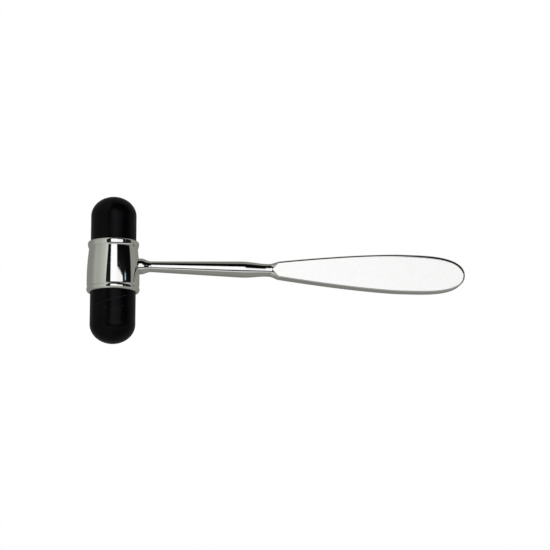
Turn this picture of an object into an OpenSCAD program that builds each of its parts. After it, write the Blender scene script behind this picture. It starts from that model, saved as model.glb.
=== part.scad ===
// Double-bumper reflex hammer. Millimetres.
// The origin is where the head's axis crosses the stem's axis, a little above the sleeve's middle.
// +X runs along the stem to the handle, +Y along the head to the shorter bumper,
// and +Z is square to the handle's flat face.

/* [Head] */
// Diameter of both rubber bumpers
bumper_d = 24.5; // [22:0.1:25]
// How far the upper bumper stands out of the sleeve
upper_reach = 24.7; // [18:0.1:30]
// How far the lower bumper stands out of the sleeve
lower_reach = 27.6; // [18:0.1:34]
// Height of each bumper's rounded end
dome_h = 10.6; // [8:0.1:14]
// Depth of each bumper's plug inside the sleeve
plug_depth = 7.9; // [6:0.1:8]
// Distance from the stem's axis to the sleeve's upper mouth
upper_mouth = 12.8; // [12:0.1:14]
// Distance from the stem's axis to the sleeve's lower mouth
lower_mouth = 14.9; // [14:0.1:16]
// Largest radius of the sleeve's barrel, below its middle
barrel_r = 14.15; // [13.8:0.05:14.6]

/* [Neck and stem] */
// Distance from the head's axis to the stem's shoulder
shoulder_x = 20.05; // [19:0.05:22]
// Radius of the stem at the shoulder
stem_r = 2.87; // [2.7:0.01:3.4]
// Growth of the stem's radius per millimetre of length
stem_taper = 0.0306; // [0.02:0.0005:0.035]
// Where the swelling starts to fall away to the neck
swell_x = 68.5; // [60:0.5:72]
// Where the neck reaches its thinnest
neck_x = 83; // [80:0.5:83.5]
// Radius of the neck
neck_r = 3.43; // [3.2:0.01:3.7]

/* [Handle] */
// Thickness of the handle
handle_t = 7.7; // [7:0.1:9]
// Widest part of the leaf
handle_w = 20.9; // [16:0.1:24]
// Distance from the head's axis to the widest part
widest_x = 156; // [140:1:165]
// Distance from the head's axis to the handle's tip
tip_x = 192.2; // [180:0.1:200]
// Radius of the rounding along both face edges
edge_r = 1.15; // [0.8:0.05:1.5]
// Wall thickness of the pressed shells
shell_wall = 0.9; // [0.7:0.05:1.1]

/* [Screw joint] */
// Major diameter of the thread that holds the stem in the head
thread_d = 5; // [4:0.5:5]
// Length of thread inside the core block
thread_engaged = 8; // [6:0.5:9]

/* [Hidden] */
$fn = 96;

running_gap = 0.05;   // radial clearance of every fit that slides or turns
face_gap = 0.1;       // gap between a bumper's plug and the core block
free_gap = 0.3;       // radial clearance of the sleeve's side hole around the thread

bore_r = bumper_d / 2 + running_gap;
core_top = upper_mouth - plug_depth - face_gap;
core_bottom = lower_mouth - plug_depth - face_gap;
core_chamfer = 0.5;

// The sleeve's barrel is one long arc, with a bead rolled at each end.
barrel_arc_r = 135;
barrel_widest_z = -8;
upper_bead_z = 11.7;
upper_bead_r = 13.75;
upper_bead_foot = 2.8;  // how far the bead runs from its crest into the barrel
lower_bead_z = -13.1;
lower_bead_r = 14.25;
lower_bead_foot = 1.7;
lower_groove_z = -12;
lower_groove_depth = 0.3;
lower_groove_h = 1.5;
mouth_round = 0.35;

thread_r = thread_d / 2;
thread_chamfer = 0.5;
thread_end_x = bore_r - thread_engaged;
tapping_extra = 1.2;  // the tapped hole runs this much deeper than the thread
drill_tip_h = 1.5;

ferrule_start_x = 12.6;
ferrule_belly_x = 15;
ferrule_foot_r = 4.05;
ferrule_belly_r = 4.3;
ferrule_end_r = stem_r + 0.08;
ferrule_end_x = shoulder_x - running_gap;

stem_end_x = neck_x + 1;
stem_edge = 0.15;     // broken edge of the stem's shoulder
tang_r = 2;
tang_end_x = 104;
tang_fit = 0.02;
tang_shell_gap = 0.12;

block_x = 94;
block_len = 9;
block_w = 6.8;
block_t = handle_t - 2 * shell_wall - 0.1;

// The leaf narrows from its widest part to its shoulders by leaf_fall, with power leaf_power.
shoulders_x = 89.3;
leaf_fall = 5.95;
leaf_power = 1.45;
tip_power = 3.65;     // squareness of the tip along and across the leaf
tip_round = 2.2;
flare_k = 0.075;      // how fast the neck opens into the shoulders
flare_blend = 32;     // how crisp the edge between the flare and the flat face is
cavity_start_x = 86;

// S-curve from 0 at a to 1 at b.
function smooth(a, b, x) = let (t = min(1, max(0, (x - a) / (b - a)))) t * t * (3 - 2 * t);
function mix(a, b, t) = a + (b - a) * t;

// ---- Sleeve -------------------------------------------------------------------------------
function barrel(z) = barrel_r - pow(z - barrel_widest_z, 2) / (2 * barrel_arc_r);
// A bead's crest is at centre; it falls to the mouth's radius over above and below.
function bead(z, centre, above, below, radius, power) =
    let (t = min(1, abs(z - centre) / (z > centre ? above : below)))
    bore_r + mouth_round + (radius - bore_r - mouth_round) * pow(1 - pow(t, power), 1 / power);
function upper_bead(z) =
    bead(z, upper_bead_z, upper_mouth - upper_bead_z, upper_bead_foot, upper_bead_r, 2);
function lower_bead(z) =
    bead(z, lower_bead_z, lower_bead_foot, lower_mouth + lower_bead_z, lower_bead_r, 2.2);
function lower_groove(z) = lower_groove_depth
    * pow(max(0, 1 - abs(z - lower_groove_z) / lower_groove_h), 2);
function inside_barrel(z) = z > lower_groove_z - 0.01 && z < upper_bead_z;
function sleeve_r(z) = max(
    inside_barrel(z) ? barrel(z) - lower_groove(z) : 0,
    upper_bead(z),
    z < lower_groove_z ? lower_bead(z) : 0);

// Heights at which the sleeve's outside is drawn: close together on the beads.
function sleeve_heights() = concat(
    [for (a = [-90:10:-10]) lower_bead_z + (lower_mouth + lower_bead_z) * sin(a)],
    [for (k = [0:5]) mix(lower_bead_z, lower_groove_z, k / 5)],
    [for (k = [1:4]) lower_groove_z + lower_groove_h * k / 4],
    [for (k = [1:12]) mix(lower_groove_z + lower_groove_h, upper_bead_z - upper_bead_foot, k / 12)],
    [for (a = [-72:12:-12]) upper_bead_z + upper_bead_foot * sin(a)],
    [for (a = [0:11:88]) upper_bead_z + (upper_mouth - upper_bead_z) * sin(a)],
    [upper_mouth]);

module sleeve_blank(grow = 0) {
    zs = sleeve_heights();
    rotate([-90, 0, 0])
        rotate_extrude()
            polygon(concat([[0, zs[0]]], [for (z = zs) [sleeve_r(z) + grow, z]], [[0, zs[len(zs) - 1]]]));
}

module head_sleeve() {
    color("silver")
        difference() {
            sleeve_blank();
            rotate([-90, 0, 0])
                cylinder(h = 4 * lower_mouth, r = bore_r, center = true);
            rotate([0, 90, 0])
                cylinder(h = 2 * barrel_r, r = thread_r + free_gap);
        }
}

// Brass slug in the middle of the sleeve, tapped from the side for the stem.
module core_block() {
    r = bore_r - tang_fit;
    color("goldenrod")
        difference() {
            rotate([-90, 0, 0])
                rotate_extrude()
                    polygon([
                        [0, -core_bottom],
                        [r - core_chamfer, -core_bottom],
                        [r, core_chamfer - core_bottom],
                        [r, core_top - core_chamfer],
                        [r - core_chamfer, core_top],
                        [0, core_top]]);
            translate([thread_end_x - tapping_extra, 0, 0])
                rotate([0, 90, 0])
                    cylinder(h = 2 * barrel_r, r = thread_r + running_gap);
            translate([thread_end_x - tapping_extra - drill_tip_h, 0, 0])
                rotate([0, 90, 0])
                    cylinder(h = drill_tip_h, r1 = 0, r2 = thread_r + running_gap);
        }
}

// ---- Bumpers ------------------------------------------------------------------------------
// A straight rubber plug along +Y with a rounded outer end; reach is what stands out of the mouth.
module bumper(mouth, reach) {
    r = bumper_d / 2;
    inner_edge = 0.6;
    inner_y = mouth - plug_depth;
    dome_y = mouth + reach - dome_h;
    color([0.08, 0.08, 0.09])
        rotate([-90, 0, 0])
            rotate_extrude()
                polygon(concat(
                    [[0, inner_y], [r - inner_edge, inner_y], [r, inner_y + inner_edge]],
                    [for (a = [0:6:84]) [r * cos(a), dome_y + dome_h * sin(a)]],
                    [[0, dome_y + dome_h]]));
}

module upper_bumper() {
    bumper(upper_mouth, upper_reach);
}

module lower_bumper() {
    mirror([0, 1, 0])
        bumper(lower_mouth, lower_reach);
}

// ---- Neck ferrule and stem ----------------------------------------------------------------
function ferrule_r(x) = x < ferrule_belly_x
    ? mix(ferrule_belly_r, ferrule_foot_r,
          pow((ferrule_belly_x - x) / (ferrule_belly_x - ferrule_start_x), 2))
    : mix(ferrule_belly_r, ferrule_end_r, smooth(ferrule_belly_x, ferrule_end_x, x));

// Bell-shaped collar with a saddle face that seats on the sleeve.
module neck_ferrule() {
    steps = 20;
    color("silver")
        difference() {
            rotate([0, 90, 0])
                rotate_extrude()
                    polygon(concat(
                        [[0, ferrule_start_x]],
                        [for (k = [0:steps])
                            let (x = mix(ferrule_start_x, ferrule_end_x, k / steps))
                            [ferrule_r(x), x]],
                        [[0, ferrule_end_x]]));
            sleeve_blank(running_gap);
            rotate([0, 90, 0])
                cylinder(h = 2 * shoulder_x, r = thread_r + running_gap);
        }
}

function stem_radius(x) = mix(stem_r + stem_taper * (x - shoulder_x), neck_r, smooth(swell_x, neck_x, x));

// One turned piece: thread, shoulder, tapered shaft with its swelling, neck and tang.
module stem() {
    swell_steps = 14;
    color("silver")
        rotate([0, 90, 0])
            rotate_extrude()
                polygon(concat(
                    [[0, thread_end_x],
                     [thread_r - thread_chamfer, thread_end_x],
                     [thread_r, thread_end_x + thread_chamfer],
                     [thread_r, shoulder_x],
                     [stem_r - stem_edge, shoulder_x],
                     [stem_radius(shoulder_x + stem_edge), shoulder_x + stem_edge]],
                    [for (k = [0:swell_steps])
                        let (x = mix(swell_x, neck_x, k / swell_steps))
                        [stem_radius(x), x]],
                    [[neck_r, stem_end_x],
                     [tang_r, stem_end_x],
                     [tang_r, tang_end_x - thread_chamfer],
                     [tang_r - thread_chamfer, tang_end_x],
                     [0, tang_end_x]]));
}

// ---- Handle -------------------------------------------------------------------------------
// Half outline of the leaf, from the neck to the tip, as [x, half width].
leaf_xs = concat([for (k = [0:13]) stem_end_x + 0.6 * k], [94, 98, 104, 111, 119, 128, 138, 147, widest_x]);
function leaf_half(x) = handle_w / 2
    - leaf_fall * pow(max(0, (widest_x - x) / (widest_x - shoulders_x)), leaf_power);
leaf_edge = concat(
    [for (x = leaf_xs) [x, leaf_half(x)]],
    [for (a = [12:6:90])
        [widest_x + (tip_x - widest_x) * pow(sin(a), 2 / tip_power),
         handle_w / 2 * pow(cos(a), 2 / tip_round)]]);
last_edge = len(leaf_edge) - 1;

// Outward normal of the outline at point i.
function edge_normal(i) = i == last_edge ? [1, 0]
    : let (d = leaf_edge[i + 1] - leaf_edge[max(0, i - 1)]) [-d[1], d[0]] / norm(d);

function flare_r(x, radius, start) = radius + flare_k * pow(max(0, x - start), 2);
// Draws a point in towards the X axis where it lies outside the flare.
function squeeze(p, radius, start) =
    let (d = norm([p[1], p[2]]),
         f = pow(1 + pow(d / flare_r(p[0], radius, start), flare_blend), -1 / flare_blend))
    [p[0], p[1] * f, p[2] * f];

corner_steps = 4;
across_steps = 6;
// Half section over the top at outline point i: from z = 0 on the +Y side to z = 0 on the -Y side.
function half_section(i, inset, top, corner, radius, start) =
    let (n = edge_normal(i),
         edge = leaf_edge[i] - n * inset,
         face = edge - n * corner,
         side = concat(
             [[edge[0], edge[1], 0]],
             [for (k = [0:corner_steps])
                 let (a = 90 * k / corner_steps, q = edge - n * corner * (1 - cos(a)))
                 [q[0], q[1], top - corner + corner * sin(a)]]),
         across = [for (k = [1:across_steps - 1]) [face[0], face[1] * (1 - 2 * k / across_steps), top]],
         last = len(side) - 1)
    [for (p = concat(side, across, [for (k = [last:-1:0]) [side[k][0], -side[k][1], side[k][2]]]))
        squeeze(p, radius, start)];

// Pressed half shell: an outer and an inner skin joined along the z = 0 rim and at the neck.
module half_shell() {
    half_t = handle_t / 2;
    inner_corner = edge_r - shell_wall / 2;
    rings = [for (i = [0:last_edge])
        let (outer = half_section(i, 0, half_t, edge_r, neck_r, stem_end_x),
             inner = half_section(i, shell_wall, half_t - shell_wall, inner_corner,
                                  tang_r + tang_shell_gap, cavity_start_x))
        concat(outer, [for (k = [len(inner) - 1:-1:0]) inner[k]])];
    n = len(rings[0]);
    half_n = n / 2;
    walls = [for (i = [0:last_edge - 1]) for (k = [0:n - 1])
        let (a = i * n + k, b = i * n + (k + 1) % n)
        each [[a, a + n, b], [b, a + n, b + n]]];
    neck_end = [for (k = [0:half_n - 2])
        each [[k, k + 1, n - 1 - k], [k + 1, n - 2 - k, n - 1 - k]]];
    polyhedron(points = [for (r = rings) each r], faces = concat(walls, neck_end), convexity = 4);
}

module handle_front_shell() {
    color("silver")
        half_shell();
}

module handle_back_shell() {
    color("silver")
        mirror([0, 0, 1])
            half_shell();
}

// Brass block inside the handle that the stem's tang is soldered into.
module tang_block() {
    color("goldenrod")
        difference() {
            translate([block_x, -block_w / 2, -block_t / 2])
                cube([block_len, block_w, block_t]);
            rotate([0, 90, 0])
                cylinder(h = tang_end_x + block_len, r = tang_r + tang_fit);
        }
}

head_sleeve();
core_block();
upper_bumper();
lower_bumper();
neck_ferrule();
stem();
handle_front_shell();
handle_back_shell();
tang_block();
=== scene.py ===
"""Reflex hammer: the looks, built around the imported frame.

Metres, in the frame's axes: +X from the head to the handle's tip, +Y to the shorter bumper,
+Z square to the handle's front face. Shapes are worked out in millimetres and scaled at the end.
"""
import math

import bmesh
import bpy
from mathutils import Matrix, Vector


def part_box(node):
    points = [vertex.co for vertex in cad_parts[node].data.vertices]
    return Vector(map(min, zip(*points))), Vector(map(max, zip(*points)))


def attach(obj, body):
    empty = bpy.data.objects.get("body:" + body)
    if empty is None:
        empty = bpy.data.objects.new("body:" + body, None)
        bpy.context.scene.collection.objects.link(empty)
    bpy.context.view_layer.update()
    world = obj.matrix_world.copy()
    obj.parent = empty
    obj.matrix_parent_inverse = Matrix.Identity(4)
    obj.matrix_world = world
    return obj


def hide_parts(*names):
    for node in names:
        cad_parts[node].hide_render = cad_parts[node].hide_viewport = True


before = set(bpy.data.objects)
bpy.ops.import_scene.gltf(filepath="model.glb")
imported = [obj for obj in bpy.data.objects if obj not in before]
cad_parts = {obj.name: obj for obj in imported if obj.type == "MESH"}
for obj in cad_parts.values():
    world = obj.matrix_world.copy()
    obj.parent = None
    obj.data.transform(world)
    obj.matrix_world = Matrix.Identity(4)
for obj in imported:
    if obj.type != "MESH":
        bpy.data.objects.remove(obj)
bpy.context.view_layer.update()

MM = 0.001


def box_mm(node):
    """Lowest and highest corner of a CAD node, in millimetres."""
    lo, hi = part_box(node)
    return lo / MM, hi / MM


# ---- Dimensions, in millimetres, read from the frame -----------------------------------------
SLEEVE_LO, SLEEVE_HI = box_mm("head_sleeve")
UPPER_LO, UPPER_HI = box_mm("upper_bumper")
LOWER_LO, LOWER_HI = box_mm("lower_bumper")
FERRULE_LO, FERRULE_HI = box_mm("neck_ferrule")
STEM_LO, STEM_HI = box_mm("stem")
SHELL_LO, SHELL_HI = box_mm("handle_front_shell")

GAP = 0.05                                  # running clearance
UPPER_MOUTH, LOWER_MOUTH = SLEEVE_HI.y, SLEEVE_LO.y
BUMPER_R = UPPER_HI.x
BORE_R = BUMPER_R + GAP
BORE_EDGE = 0.08
MOUTH_R = BORE_R + 0.35
BEAD_R = SLEEVE_HI.x                        # the lower bead is the sleeve's widest
DOME_H = 10.6
PLUG_EDGE_R = 0.6
RUBBER_WAVES = 0.035                        # the most that a bumper falls short of round

THREAD_R = 2.5
THREAD_PITCH = 0.8
THREAD_DEPTH = 0.45
THREAD_CHAMFER = 0.5
THREAD_TO = 13.2                            # the rest of the spigot is plain
PLAIN_RELIEF = 0.04                         # and this much thinner
HOLE_R = THREAD_R + 0.3

FERRULE_BELLY_X, FERRULE_BELLY_R = 15.0, FERRULE_HI.y
FERRULE_FOOT_R, FERRULE_FOOT_H = 4.05, 2.4
FERRULE_LIP = 0.08                          # its end stands this much proud of the stem
SHOULDER_X = FERRULE_HI.x + GAP
STEM_R, STEM_TAPER = 2.87, 0.0306
SWELL_X = 68.5
NECK_X, NECK_R = SHELL_LO.x - 1, 3.43
TANG_R, TANG_L, TANG_CHAMFER = 2.0, 20.0, 0.5

LEAF_HALF, LEAF_T = SHELL_HI.y, SHELL_HI.z  # half width and half thickness of the handle
TIP_X = SHELL_HI.x
WIDEST_X, SHOULDERS_X = 156.0, 89.3
LEAF_FALL, LEAF_POWER = 5.95, 1.45
TIP_POWER, TIP_ROUND = 3.65, 2.2
EDGE_R, SHELL_WALL = 1.15, 0.9
CROWN = 0.12                                # polishing has rolled the face off by this much at its edges
FLARE = 0.075                               # how fast the shells open out from the neck, per mm
TANG_FIT = 0.12


# ---- Small helpers ---------------------------------------------------------------------------
def mix(a, b, t):
    return a + (b - a) * t


def smooth(a, b, x):
    t = min(1, max(0, (x - a) / (b - a)))
    return t * t * (3 - 2 * t)


def steps(a, b, n):
    """n + 1 values from a to b."""
    return [mix(a, b, k / n) for k in range(n + 1)]


def crossing(f, a, b):
    """Where f changes sign between a and b."""
    for _ in range(40):
        m = (a + b) / 2
        a, b = (m, b) if (f(a) > 0) == (f(m) > 0) else (a, m)
    return (a + b) / 2


def piece(name, points, faces, material, body, node, sharp_deg=32):
    """A smooth-shaded closed mesh from millimetre points, in place of a CAD node."""
    mesh = bpy.data.meshes.new(name)
    mesh.from_pydata([Vector(p) * MM for p in points], [], faces)
    obj = bpy.data.objects.new(name, mesh)
    bpy.context.scene.collection.objects.link(obj)
    finish_mesh(mesh, sharp_deg)
    mesh.materials.append(material)
    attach(obj, body)
    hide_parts(node)
    return obj


def finish_mesh(mesh, sharp_deg):
    """Outward faces, smooth shading, and sharp edges where the surface turns a corner."""
    bm = bmesh.new()
    bm.from_mesh(mesh)
    bmesh.ops.remove_doubles(bm, verts=bm.verts, dist=1e-7)
    bmesh.ops.recalc_face_normals(bm, faces=bm.faces)
    for face in bm.faces:
        face.smooth = True
    bm.to_mesh(mesh)
    bm.free()
    mesh.set_sharp_from_angle(angle=math.radians(sharp_deg))


def skin(rings, along=False):
    """Quads between neighbouring closed rings of equal length. along joins the last ring to the first."""
    n = len(rings[0])
    rows = len(rings) if along else len(rings) - 1
    faces = []
    for i in range(rows):
        j = (i + 1) % len(rings)
        for k in range(n):
            m = (k + 1) % n
            faces.append((i * n + k, j * n + k, j * n + m, i * n + m))
    return [p for ring in rings for p in ring], faces


def lathe_rings(profile, place, segments):
    """Rings round an axis from [radius, height] pairs. place turns (radius, angle, height) into a point."""
    return [[place(r, math.tau * k / segments, h) for k in range(segments)] for r, h in profile]


def round_y(r, a, h):
    return (r * math.cos(a), h, r * math.sin(a))


def round_x(r, a, h):
    return (h, r * math.cos(a), r * math.sin(a))


def capped(rings, first, last):
    """A lathe closed at both ends by a fan onto the points first and last."""
    points, faces = skin(rings)
    n, base = len(rings[0]), len(points)
    points += [first, last]
    for k in range(n):
        m = (k + 1) % n
        faces.append((base, k, m))
        faces.append((base + 1, base - n + m, base - n + k))
    return points, faces


# ---- Sleeve ----------------------------------------------------------------------------------
BARREL_R, BARREL_ARC, BARREL_WIDEST = 14.15, 135.0, -8.0
UPPER_BEAD_Y, UPPER_BEAD_R, UPPER_BEAD_FOOT = 11.7, 13.75, 2.8
LOWER_BEAD_Y, LOWER_BEAD_FOOT = -13.1, 1.7
GROOVE_Y, GROOVE_DEPTH, GROOVE_H = -12.0, 0.3, 1.5


def barrel(y):
    groove = GROOVE_DEPTH * max(0, 1 - abs(y - GROOVE_Y) / GROOVE_H) ** 2
    return BARREL_R - (y - BARREL_WIDEST) ** 2 / (2 * BARREL_ARC) - groove


def bead(y, centre, above, below, radius, power):
    t = min(1, abs(y - centre) / (above if y > centre else below))
    return MOUTH_R + (radius - MOUTH_R) * (1 - t ** power) ** (1 / power)


def upper_bead(y):
    return bead(y, UPPER_BEAD_Y, UPPER_MOUTH - UPPER_BEAD_Y, UPPER_BEAD_FOOT, UPPER_BEAD_R, 2)


def lower_bead(y):
    return bead(y, LOWER_BEAD_Y, LOWER_BEAD_FOOT, LOWER_BEAD_Y - LOWER_MOUTH, BEAD_R, 2.2)


def round_steps(centre, reach, start_deg, end_deg, n):
    """Heights that crowd together towards the steep end of a rounded bead."""
    return [centre + reach * math.sin(math.radians(a)) for a in steps(start_deg, end_deg, n)]


def sleeve_outline():
    """[radius, y] pairs up the outside of the sleeve, from its lower mouth to its upper one."""
    lower = round_steps(LOWER_BEAD_Y, LOWER_BEAD_Y - LOWER_MOUTH, -90, 0, 45)
    lower += steps(LOWER_BEAD_Y, GROOVE_Y, 16)[1:]
    foot_y = UPPER_BEAD_Y - UPPER_BEAD_FOOT
    crease = crossing(lambda y: upper_bead(y) - barrel(y), foot_y + 0.01, UPPER_BEAD_Y)
    start = math.degrees(math.asin((crease - UPPER_BEAD_Y) / UPPER_BEAD_FOOT))
    upper = round_steps(UPPER_BEAD_Y, UPPER_BEAD_FOOT, start, 0, 32)
    upper += round_steps(UPPER_BEAD_Y, UPPER_MOUTH - UPPER_BEAD_Y, 0, 90, 40)[1:]
    outline = [(lower_bead(y), y) for y in lower]
    outline += [(barrel(y), y) for y in steps(GROOVE_Y, GROOVE_Y + GROOVE_H, 16)]
    outline += [(barrel(y), y) for y in steps(GROOVE_Y + GROOVE_H, crease, 60)[1:-1]]
    return outline + [(upper_bead(y), y) for y in upper]


def sleeve_r(y):
    if y < GROOVE_Y:
        return lower_bead(y)
    return max(barrel(y) if y < UPPER_BEAD_Y else 0, upper_bead(y))


def build_sleeve(material):
    """The sleeve: turned outside, straight bore, and the side hole for the stem's thread."""
    bore = [(BORE_R + BORE_EDGE, UPPER_MOUTH), (BORE_R, UPPER_MOUTH - BORE_EDGE)]
    bore += [(BORE_R, y) for y in steps(UPPER_MOUTH - 1, LOWER_MOUTH + 1, 14)]
    bore += [(BORE_R, LOWER_MOUTH + BORE_EDGE), (BORE_R + BORE_EDGE, LOWER_MOUTH)]
    points, faces = skin(lathe_rings(sleeve_outline() + bore, round_y, 256), along=True)
    sleeve = piece("sleeve_plated", points, faces, material, "head", "head_sleeve")
    drill_side_hole(sleeve)
    return sleeve


def drill_side_hole(obj):
    """Cuts the hole for the stem's thread through the wall on the handle's side."""
    start, end = BORE_R - 4, BEAD_R + 2
    ring = lathe_rings([(HOLE_R, start), (HOLE_R, end)], round_x, 64)
    points, faces = capped(ring, (start, 0, 0), (end, 0, 0))
    mesh = bpy.data.meshes.new("side_drill")
    mesh.from_pydata([Vector(p) * MM for p in points], [], faces)
    finish_mesh(mesh, 40)
    drill = bpy.data.objects.new("side_drill", mesh)
    bpy.context.scene.collection.objects.link(drill)
    cut = obj.modifiers.new("side_hole", "BOOLEAN")
    cut.object, cut.operation, cut.solver = drill, "DIFFERENCE", "EXACT"
    bpy.context.view_layer.update()
    evaluated = obj.evaluated_get(bpy.context.evaluated_depsgraph_get())
    drilled = bpy.data.meshes.new_from_object(evaluated)
    obj.modifiers.clear()
    obj.data = drilled
    bpy.data.objects.remove(drill)
    finish_mesh(drilled, 32)


# ---- Bumpers ---------------------------------------------------------------------------------
def bumper_profile(inner, tip):
    """[radius, height] pairs from the plug's flat end to just short of the dome's tip."""
    dome = tip - DOME_H
    corner = [(BUMPER_R - PLUG_EDGE_R * (1 - math.sin(a)), inner + PLUG_EDGE_R * (1 - math.cos(a)))
              for a in steps(0, math.pi / 2, 8)]
    wall = [(BUMPER_R, y) for y in steps(inner + PLUG_EDGE_R, dome, 40)[1:]]
    cap = [(BUMPER_R * math.cos(a), dome + DOME_H * math.sin(a))
           for a in steps(0, math.radians(88), 60)[1:]]
    return corner + wall + cap


def uneven(r, a, h):
    """Moulded rubber isn't truly round: it falls a few hundredths of a millimetre short, in slow waves."""
    wave = 0.5 + 0.25 * math.sin(2 * a + 0.31 * h) + 0.25 * math.sin(3 * a - 0.17 * h + 1)
    return r - RUBBER_WAVES * wave * min(1, r / BUMPER_R)


def build_bumper(name, node, inner, tip, material):
    side = 1 if tip > 0 else -1
    rings = lathe_rings(bumper_profile(abs(inner), abs(tip)),
                        lambda r, a, h: round_y(uneven(r, a, h), a, side * h), 160)
    points, faces = capped(rings, (0, inner, 0), (0, tip, 0))
    return piece(name, points, faces, material, node, node)


# ---- Ferrule ---------------------------------------------------------------------------------
def ferrule_r(x):
    if x < FERRULE_BELLY_X:
        return mix(FERRULE_BELLY_R, FERRULE_FOOT_R, ((FERRULE_BELLY_X - x) / FERRULE_FOOT_H) ** 2)
    return mix(FERRULE_BELLY_R, STEM_R + FERRULE_LIP, smooth(FERRULE_BELLY_X, FERRULE_HI.x, x))


def saddle_x(r, a):
    """Where a line along X at that radius and angle meets the sleeve, plus the running gap."""
    y, z = r * math.cos(a), r * math.sin(a)
    return math.sqrt((sleeve_r(y) + GAP) ** 2 - z * z)


def foot_x(a):
    """Where the ferrule's outside meets the sleeve at that angle, found by repeated steps."""
    x = FERRULE_LO.x
    for _ in range(12):
        x = saddle_x(ferrule_r(x), a)
    return x


def build_ferrule(material):
    """Bell-shaped collar: its foot is a saddle that follows the sleeve."""
    n, across, along = 144, 8, 44
    edge = 0.1
    hole = THREAD_R + GAP
    angles = [math.tau * k / n for k in range(n)]
    feet = [foot_x(a) for a in angles]
    rings = []
    for k in range(across + 1):
        r_at = [mix(hole, ferrule_r(x), k / across) for x in feet]
        rings.append([(saddle_x(r, a), r * math.cos(a), r * math.sin(a)) for r, a in zip(r_at, angles)])
    for k in range(1, along + 1):
        at = [mix(x, FERRULE_HI.x - edge, k / along) for x in feet]
        rings.append([round_x(ferrule_r(x), a, x) for x, a in zip(at, angles)])
    end_r = ferrule_r(FERRULE_HI.x)
    tail = [(end_r - 0.3 * edge, FERRULE_HI.x - 0.3 * edge), (end_r - edge, FERRULE_HI.x)]
    tail += [(hole + edge, FERRULE_HI.x)]
    tail += [(hole, x) for x in steps(FERRULE_HI.x - edge, BORE_R + 1.5, 10)]
    rings += lathe_rings(tail, round_x, n)
    points, faces = skin(rings, along=True)
    return piece("ferrule_plated", points, faces, material, "ferrule", "neck_ferrule", 40)


# ---- Stem ------------------------------------------------------------------------------------
def stem_radius(x):
    return mix(STEM_R + STEM_TAPER * (x - SHOULDER_X), NECK_R, smooth(SWELL_X, NECK_X, x))


def thread_r(x, a):
    """Right-hand V thread with flat crests and roots, chamfered at its start and run out at its end."""
    phase = (x / THREAD_PITCH + a / math.tau) % 1
    groove = min(1, max(0, 2.6 * abs(phase - 0.5) - 0.15))
    fade = smooth(THREAD_TO, THREAD_TO - THREAD_PITCH, x)
    r = THREAD_R - THREAD_DEPTH * (1 - groove) * fade - PLAIN_RELIEF * (1 - fade)
    return min(r, THREAD_R - THREAD_CHAMFER + (x - STEM_LO.x))


def build_stem(material):
    """Threaded spigot, shoulder, tapered shaft with its swelling, neck and tang, turned in one piece."""
    n, edge = 128, 0.15
    angles = [math.tau * k / n for k in range(n)]
    thread = steps(STEM_LO.x, THREAD_TO, round((THREAD_TO - STEM_LO.x) / THREAD_PITCH * 14))
    rings = [[round_x(thread_r(x, a), a, x) for a in angles] for x in thread]
    plain = [(THREAD_R - PLAIN_RELIEF, x) for x in steps(THREAD_TO, SHOULDER_X, 8)[1:]]
    shoulder = [(STEM_R - edge + edge * math.sin(a), SHOULDER_X + edge - edge * math.cos(a))
                for a in steps(0, math.pi / 2, 5)]
    shaft = [(stem_radius(x), x) for x in steps(SHOULDER_X + edge, SWELL_X, 48)[1:]]
    neck = [(stem_radius(x), x) for x in steps(SWELL_X, NECK_X, 60)[1:]]
    tang_x = STEM_HI.x - TANG_L
    tang = [(NECK_R, tang_x), (TANG_R, tang_x)]
    tang += [(TANG_R, x) for x in steps(tang_x, STEM_HI.x - TANG_CHAMFER, 10)[1:]]
    tang += [(TANG_R - TANG_CHAMFER, STEM_HI.x)]
    rings += lathe_rings(plain + shoulder + shaft + neck + tang, round_x, n)
    points, faces = capped(rings, (STEM_LO.x, 0, 0), (STEM_HI.x, 0, 0))
    return piece("stem_plated", points, faces, material, "handle", "stem", 40)


# ---- Handle ----------------------------------------------------------------------------------
def leaf_half(x):
    """Half the leaf's width, from the neck to its widest place."""
    return LEAF_HALF - LEAF_FALL * max(0, (WIDEST_X - x) / (WIDEST_X - SHOULDERS_X)) ** LEAF_POWER


def leaf_outline():
    """[x, half width] from the neck to the tip, close together where the leaf flares and at its tip."""
    flared = SHELL_LO.x + 10
    flare = [(x, leaf_half(x)) for x in steps(SHELL_LO.x, flared, 50)]
    sides = [(x, leaf_half(x)) for x in steps(flared, WIDEST_X, 60)[1:]]
    return flare + sides + [tip_point(math.radians(d)) for d in steps(1, 90, 96)]


def tip_point(a):
    """A point of the tip's rounded quarter, from the widest place (0) to the tip (a quarter turn)."""
    along = math.sin(a) ** (2 / TIP_POWER)
    across = max(0, math.cos(a)) ** (2 / TIP_ROUND)
    return (WIDEST_X + (TIP_X - WIDEST_X) * along, LEAF_HALF * across)


def outline_normals(edge):
    """Unit vectors square to the outline, pointing out. The last one looks along +X."""
    normals = []
    for i in range(len(edge)):
        a, b = edge[max(0, i - 1)], edge[min(len(edge) - 1, i + 1)]
        d = Vector((b[0] - a[0], b[1] - a[1])).normalized()
        normals.append((-d.y, d.x))
    normals[-1] = (1.0, 0.0)
    return normals


def squeeze(p, neck_r, start):
    """Draws a point in towards the X axis where it lies outside the flare of the neck."""
    limit = neck_r + FLARE * max(0, p[0] - start) ** 2
    f = (1 + (math.hypot(p[1], p[2]) / limit) ** 32) ** (-1 / 32)
    return (p[0], p[1] * f, p[2] * f)


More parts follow.
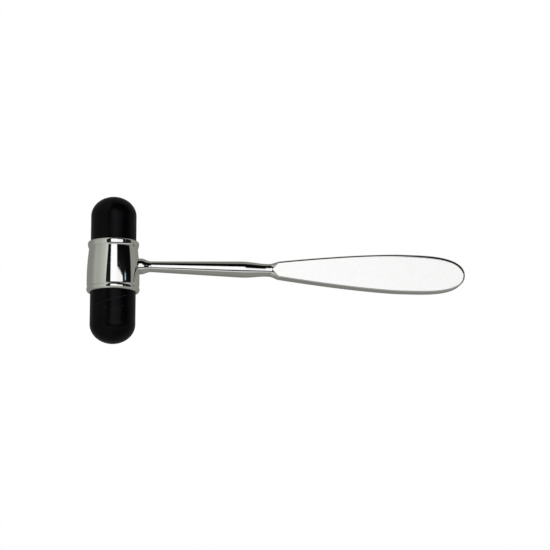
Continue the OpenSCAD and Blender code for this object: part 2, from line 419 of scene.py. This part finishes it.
def half_section(edge, normal, inset, top, corner, neck_r, start):
    """From z = 0 on the +Y side, over the face, to z = 0 on the -Y side."""
    ex, ey = edge[0] - normal[0] * inset, edge[1] - normal[1] * inset
    side = [(ex, ey, z) for z in steps(0, top - corner, 6)]
    for a in steps(0, math.pi / 2, 12)[1:]:
        back = corner * (1 - math.cos(a))
        side.append((ex - normal[0] * back, ey - normal[1] * back, top - corner + corner * math.sin(a)))
    face_x, face_y = side[-1][0], side[-1][1]
    across = [(face_x, mix(face_y, -face_y, k / 40), top) for k in range(1, 40)]
    points = side + across + [(x, -y, z) for x, y, z in reversed(side)]
    points = [(x, y, z - CROWN * (z / top) ** 4 * min(1, abs(y / ey)) ** 5) for x, y, z in points]
    return [squeeze(p, neck_r, start) for p in points]


def build_shell(name, node, side, material):
    """One pressed half of the handle: outer and inner skin, joined along the middle plane and at the neck."""
    edge = leaf_outline()
    normals = outline_normals(edge)
    rings = []
    for e, n in zip(edge, normals):
        outer = half_section(e, n, 0, LEAF_T, EDGE_R, NECK_R, SHELL_LO.x)
        inner = half_section(e, n, SHELL_WALL, LEAF_T - SHELL_WALL, EDGE_R - SHELL_WALL / 2,
                             TANG_R + TANG_FIT, SHELL_LO.x + 2)
        rings.append([(x, y, side * z) for x, y, z in outer + inner[::-1]])
    points, faces = skin(rings)
    half = len(rings[0]) // 2
    last = 2 * half - 1
    faces += [(k, k + 1, last - 1 - k, last - k) for k in range(half - 1)]
    return piece(name, points, faces, material, "handle", node, 28)


# ---- Materials -------------------------------------------------------------------------------
# Wear on the lower bumper: (height on the axis, slope, width, from x, to x), in millimetres.
SCUFFS = ((-19.3, 0.31, 0.16, -10, 13), (-24.7, 0.37, 0.14, -3.6, 5), (-22.0, 0.5, 0.5, -5.4, -4.4))


class Nodes:
    """A small wrapper: add nodes and join them by name."""

    def __init__(self, tree):
        self.tree = tree
        tree.nodes.clear()

    def add(self, kind, inputs=(), **settings):
        node = self.tree.nodes.new(kind)
        for name, value in settings.items():
            setattr(node, name, value)
        for name, value in dict(inputs).items():
            if isinstance(value, bpy.types.NodeSocket):
                self.tree.links.new(value, node.inputs[name])
            else:
                node.inputs[name].default_value = value
        return node

    def math(self, operation, a, b=0.0):
        return self.add("ShaderNodeMath", {0: a, 1: b}, operation=operation).outputs[0]

    def range(self, value, low, high, to_low=0.0, to_high=1.0, kind="SMOOTHSTEP"):
        return self.add("ShaderNodeMapRange", {"Value": value, "From Min": low, "From Max": high,
                        "To Min": to_low, "To Max": to_high}, interpolation_type=kind).outputs["Result"]

    def mix(self, factor, a, b):
        node = self.add("ShaderNodeMix", data_type="RGBA")
        for index, value in ((0, factor), (6, a), (7, b)):
            if isinstance(value, bpy.types.NodeSocket):
                self.tree.links.new(value, node.inputs[index])
            else:
                node.inputs[index].default_value = value
        return node.outputs[2]

    def noise(self, position, scale, detail):
        return self.add("ShaderNodeTexNoise", {"Vector": position, "Scale": scale,
                        "Detail": detail}).outputs["Fac"]

    def stretched(self, position, scale):
        return self.add("ShaderNodeMapping", {"Vector": position, "Scale": scale}).outputs["Vector"]


def new_material(name):
    material = bpy.data.materials.new(name)
    material.use_nodes = True
    nodes = Nodes(material.node_tree)
    position = nodes.add("ShaderNodeTexCoord").outputs["Object"]
    return material, nodes, position


def chrome(name, scratch_scale):
    """Polished plating: faint haze, a slight waviness, and hairlines that run where scratch_scale is low."""
    material, nodes, position = new_material(name)
    haze = nodes.noise(position, 420, 4)
    waves = nodes.noise(position, 260, 1)
    hairs = nodes.noise(nodes.stretched(position, scratch_scale), 1, 2)
    hair_lines = nodes.range(hairs, 0.60, 0.72)
    bump = nodes.add("ShaderNodeBump", {"Strength": 0.05, "Distance": 0.00006, "Height": waves}).outputs[0]
    bump = nodes.add("ShaderNodeBump", {"Strength": 0.05, "Distance": 0.00002, "Height": hair_lines,
                     "Normal": bump}).outputs[0]
    tint = nodes.mix(nodes.range(haze, 0.35, 0.7), (0.795, 0.80, 0.79, 1), (0.81, 0.815, 0.81, 1))
    rough = nodes.math("ADD", nodes.range(haze, 0.3, 0.75, 0.045, 0.075),
                       nodes.math("MULTIPLY", hair_lines, 0.03))
    shader = nodes.add("ShaderNodeBsdfPrincipled", {"Base Color": tint, "Metallic": 1.0, "Roughness": rough,
                       "Normal": bump}).outputs[0]
    nodes.add("ShaderNodeOutputMaterial", {"Surface": shader})
    return material


def rubber(name, scuffs=()):
    """Smooth black rubber: soft wavy sheen, faint flow lines, and pale scuffs where it has been used."""
    material, nodes, position = new_material(name)
    mottle = nodes.noise(position, 180, 3)
    flow = nodes.noise(nodes.stretched(position, (300, 60, 300)), 1, 3)
    grain = nodes.noise(position, 2600, 2)
    colour = nodes.mix(nodes.range(mottle, 0.35, 0.7), (0.0008, 0.0006, 0.0022, 1),
                       (0.0025, 0.0024, 0.004, 1))
    rough = nodes.range(flow, 0.3, 0.7, 0.24, 0.38)
    if scuffs:
        marks = scuff_marks(nodes, position, scuffs)
        colour = nodes.mix(marks, colour, (0.05, 0.052, 0.055, 1))
        rough = nodes.math("ADD", rough, nodes.math("MULTIPLY", marks, 0.2))
    bump = nodes.add("ShaderNodeBump", {"Strength": 0.5, "Distance": 0.0003, "Height": flow}).outputs[0]
    bump = nodes.add("ShaderNodeBump", {"Strength": 0.15, "Distance": 0.00002, "Height": grain,
                     "Normal": bump}).outputs[0]
    shader = nodes.add("ShaderNodeBsdfPrincipled", {"Base Color": colour, "Roughness": rough, "Normal": bump,
                       "IOR": 1.2}).outputs[0]
    nodes.add("ShaderNodeOutputMaterial", {"Surface": shader})
    return material


def scuff_marks(nodes, position, scuffs):
    """Thin broken lines on the front of the rubber."""
    axes = nodes.add("ShaderNodeSeparateXYZ", {"Vector": position}).outputs
    bend = nodes.math("MULTIPLY", nodes.noise(position, 110, 2), 0.0012)
    front = nodes.range(axes["Z"], 0, 3 * MM)
    broken = nodes.range(nodes.noise(position, 500, 2), 0.36, 0.62)
    lines = 0.0
    for level, slope, width, start, end in scuffs:
        line = nodes.math("SUBTRACT", axes["Y"], nodes.math("MULTIPLY", axes["X"], slope))
        line = nodes.math("ABSOLUTE", nodes.math("SUBTRACT", nodes.math("ADD", line, bend), level * MM))
        line = nodes.range(line, width * MM, 0)
        reach = between(nodes, axes["X"], start * MM, end * MM, rim=0.8 * MM)
        lines = nodes.math("MAXIMUM", lines, nodes.math("MULTIPLY", line, reach))
    return nodes.math("MULTIPLY", nodes.math("MULTIPLY", front, broken), lines)


def brass(name):
    """Machined brass: fine turning marks across a warm, slightly tarnished metal."""
    material, nodes, position = new_material(name)
    marks = nodes.noise(nodes.stretched(position, (300, 9000, 300)), 1, 2)
    tarnish = nodes.range(nodes.noise(position, 240, 3), 0.35, 0.7)
    colour = nodes.mix(tarnish, (0.72, 0.54, 0.27, 1), (0.55, 0.39, 0.18, 1))
    rough = nodes.range(marks, 0.3, 0.7, 0.26, 0.4)
    bump = nodes.add("ShaderNodeBump", {"Strength": 0.2, "Distance": 0.00003, "Height": marks}).outputs[0]
    shader = nodes.add("ShaderNodeBsdfPrincipled", {"Base Color": colour, "Metallic": 1.0, "Roughness": rough,
                       "Normal": bump}).outputs[0]
    nodes.add("ShaderNodeOutputMaterial", {"Surface": shader})
    return material


def paint(node, material):
    """A CAD node keeps its shape and takes a better material."""
    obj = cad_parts[node]
    obj.data.materials.clear()
    obj.data.materials.append(material)


# ---- Studio ----------------------------------------------------------------------------------
# The camera, given by where it looks and from which side.
LOOK_AT = Vector((0.08773, -0.00240, 0.0))
CAMERA_LEFT, CAMERA_SOUTH = 0.1512, 0.2     # radians off the handle's face normal
CAMERA_DISTANCE = 1.4
CAMERA_ROLL = 0.001
LENS, SENSOR = 169.4, 36

FLOOR = 3.0                                 # half the floor's side, in metres
TIP_REST = 4.0                              # the handle rests this far from its tip, in millimetres

# The large softbox overhead, as angles off +Z towards +X and +Y, in degrees. Its east edge is slanted.
SOFTBOX_WEST, SOFTBOX_SOUTH, SOFTBOX_NORTH = -16.0, -17.0, 30.0
SLANT_Y = (16.0, 13.5)
SLANT_X = (12.0, 37.0)
SOFTBOX_LIGHT = (1.22, 1.12)                # falls off a little to the east
# A narrow cool window light to the east.
WINDOW_X, WINDOW_Y = (47.5, 52.0), (14.0, 19.0)
WINDOW_LIGHT = (0.45, 0.74, 0.85, 1)


def build_camera():
    """Looks down at the hammer from beyond its head, a little from the longer bumper's side."""
    back = Vector((-math.tan(CAMERA_LEFT), -math.tan(CAMERA_SOUTH), 1)).normalized()
    right = (-back).cross(Vector((0, 1, 0))).normalized()
    up = right.cross(-back)
    turn = Matrix.Rotation(CAMERA_ROLL, 3, back)
    axes = Matrix((turn @ right, turn @ up, back)).transposed()
    data = bpy.data.cameras.new("camera")
    data.lens, data.sensor_width = LENS, SENSOR
    camera = bpy.data.objects.new("camera", data)
    camera.matrix_world = Matrix.Translation(LOOK_AT + CAMERA_DISTANCE * back) @ axes.to_4x4()
    bpy.context.scene.collection.objects.link(camera)
    bpy.context.scene.camera = camera


def build_floor():
    """A pale floor that the hammer lies on: it touches the sleeve's lower bead and the handle's tip."""
    slope = (BEAD_R - LEAF_T) / (TIP_X - TIP_REST)
    drop = -(BEAD_R + GAP) * MM
    mesh = bpy.data.meshes.new("floor")
    corners = [(-FLOOR, -FLOOR), (FLOOR, -FLOOR), (FLOOR, FLOOR), (-FLOOR, FLOOR)]
    mesh.from_pydata([(x, y, drop + x * slope) for x, y in corners], [], [(0, 1, 2, 3)])
    floor = bpy.data.objects.new("floor", mesh)
    bpy.context.scene.collection.objects.link(floor)
    mesh.materials.append(floor_material())
    floor.visible_glossy = False


def floor_material():
    """Seamless white paper, bright to the camera, with only a trace of shadow."""
    material, nodes, _ = new_material("floor_paper")
    diffuse = nodes.add("ShaderNodeBsdfDiffuse", {"Color": (0.7, 0.7, 0.7, 1)}).outputs[0]
    glow = nodes.add("ShaderNodeEmission", {"Color": (1, 1, 1, 1), "Strength": 1.01}).outputs[0]
    seen = nodes.add("ShaderNodeLightPath").outputs["Is Camera Ray"]
    share = nodes.math("MULTIPLY", seen, 0.985)
    surface = nodes.add("ShaderNodeMixShader", {0: share, 1: diffuse, 2: glow}).outputs[0]
    nodes.add("ShaderNodeOutputMaterial", {"Surface": surface})
    return material


# Each sky as (angle in degrees, brightness, tint). The middle one runs from south to north over the top,
# and the side one from west to east; +-90 degrees is the horizon and beyond it is the table.
GREY_GREEN = (1.0, 1.03, 0.93)
NEUTRAL = (1.0, 1.0, 1.0)
MIDDLE_SKY = ((-180, 0.24, GREY_GREEN), (-90, 0.27, GREY_GREEN), (-52, 0.27, GREY_GREEN),
              (-48, 0.70, NEUTRAL), (-36, 0.75, NEUTRAL), (-31, 0.03, NEUTRAL), (28, 0.003, NEUTRAL),
              (77, 0.003, NEUTRAL), (84, 0.26, GREY_GREEN), (180, 0.21, GREY_GREEN))
SIDE_SKY = ((-180, 0.25, GREY_GREEN), (-115, 0.265, GREY_GREEN), (-102, 0.33, GREY_GREEN),
            (-94, 0.41, GREY_GREEN), (-70, 0.42, GREY_GREEN), (-45, 0.55, GREY_GREEN),
            (-34, 0.70, GREY_GREEN), (80, 0.30, GREY_GREEN), (110, 0.30, GREY_GREEN),
            (180, 0.21, GREY_GREEN))


def build_world():
    """A dark studio with one large softbox overhead, pale walls around it and a table below."""
    world = bpy.data.worlds.new("studio")
    world.use_nodes = True
    bpy.context.scene.world = world
    nodes = Nodes(world.node_tree)
    direction = nodes.add("ShaderNodeTexCoord").outputs["Generated"]
    axes = nodes.add("ShaderNodeSeparateXYZ", {"Vector": direction}).outputs
    east, north = (degrees_off_z(nodes, axes[name], axes["Z"]) for name in "XY")

    colour = nodes.mix(side_walls(nodes, east, north), ramp(nodes, north, MIDDLE_SKY),
                       ramp(nodes, east, SIDE_SKY))
    level = nodes.range(east, 6, 16, *SOFTBOX_LIGHT)
    white = nodes.add("ShaderNodeCombineColor", {"Red": level, "Green": level, "Blue": level}).outputs[0]
    colour = nodes.mix(softbox(nodes, east, north), colour, white)
    window = nodes.math("MULTIPLY", between(nodes, east, *WINDOW_X), between(nodes, north, *WINDOW_Y))
    colour = nodes.mix(window, colour, WINDOW_LIGHT)
    seen = nodes.add("ShaderNodeLightPath").outputs["Is Camera Ray"]
    colour = nodes.mix(seen, colour, (1, 1, 1, 1))
    background = nodes.add("ShaderNodeBackground", {"Color": colour, "Strength": 1.0}).outputs[0]
    nodes.add("ShaderNodeOutputWorld", {"Surface": background})


def degrees_off_z(nodes, component, z):
    """The angle of a direction off +Z, towards the axis that component belongs to."""
    return nodes.math("MULTIPLY", nodes.math("ARCTAN2", component, z), 180 / math.pi)


def between(nodes, value, low, high, rim=0.8):
    """1 where value lies between low and high, with a soft rim."""
    above = nodes.range(value, low - rim, low + rim)
    below = nodes.range(value, high + rim, high - rim)
    return nodes.math("MULTIPLY", above, below)


def side_walls(nodes, east, north):
    """1 on the west and east walls. The west one leans in towards the north."""
    lean = nodes.range(north, 12, 27, 0, 6, kind="LINEAR")
    west = nodes.range(nodes.math("SUBTRACT", east, lean), -35.5, -37.5)
    return nodes.math("MAXIMUM", west, nodes.range(east, 77, 82))


def softbox(nodes, east, north):
    """1 on the overhead softbox. Its east edge is slanted."""
    slanted = nodes.range(north, *SLANT_Y, *SLANT_X, kind="LINEAR")
    inside = nodes.range(nodes.math("SUBTRACT", east, slanted), 1.2, -1.2)
    inside = nodes.math("MULTIPLY", inside, nodes.range(east, SOFTBOX_WEST - 1, SOFTBOX_WEST + 1))
    return nodes.math("MULTIPLY", inside, between(nodes, north, SOFTBOX_SOUTH, SOFTBOX_NORTH))


def ramp(nodes, angle, sky):
    """A colour by angle, from -180 to 180 degrees."""
    node = nodes.add("ShaderNodeValToRGB", {"Fac": nodes.range(angle, -180, 180, kind="LINEAR")})
    stops = node.color_ramp.elements
    while len(stops) < len(sky):
        stops.new(0.5)
    for stop, (degrees, level, tint) in zip(stops, sky):
        stop.position = (degrees + 180) / 360
        stop.color = (level * tint[0], level * tint[1], level * tint[2], 1)
    return node.outputs["Color"]


# ---- The hammer ------------------------------------------------------------------------------
def build_hammer():
    turned = chrome("chrome_turned", (300, 2600, 300))
    along = chrome("chrome_drawn", (250, 3200, 3200))
    build_sleeve(turned)
    build_ferrule(along)
    build_stem(along)
    build_shell("handle_front_plated", "handle_front_shell", 1, along)
    build_shell("handle_back_plated", "handle_back_shell", -1, along)
    build_bumper("upper_bumper_rubber", "upper_bumper", UPPER_LO.y, UPPER_HI.y,
                 rubber("rubber_clean"))
    build_bumper("lower_bumper_rubber", "lower_bumper", LOWER_HI.y, LOWER_LO.y,
                 rubber("rubber_scuffed", SCUFFS))
    for node in ("core_block", "tang_block"):
        paint(node, brass("brass_" + node))


build_hammer()
build_floor()
build_world()
build_camera()
bpy.context.scene.view_settings.view_transform = "Standard"
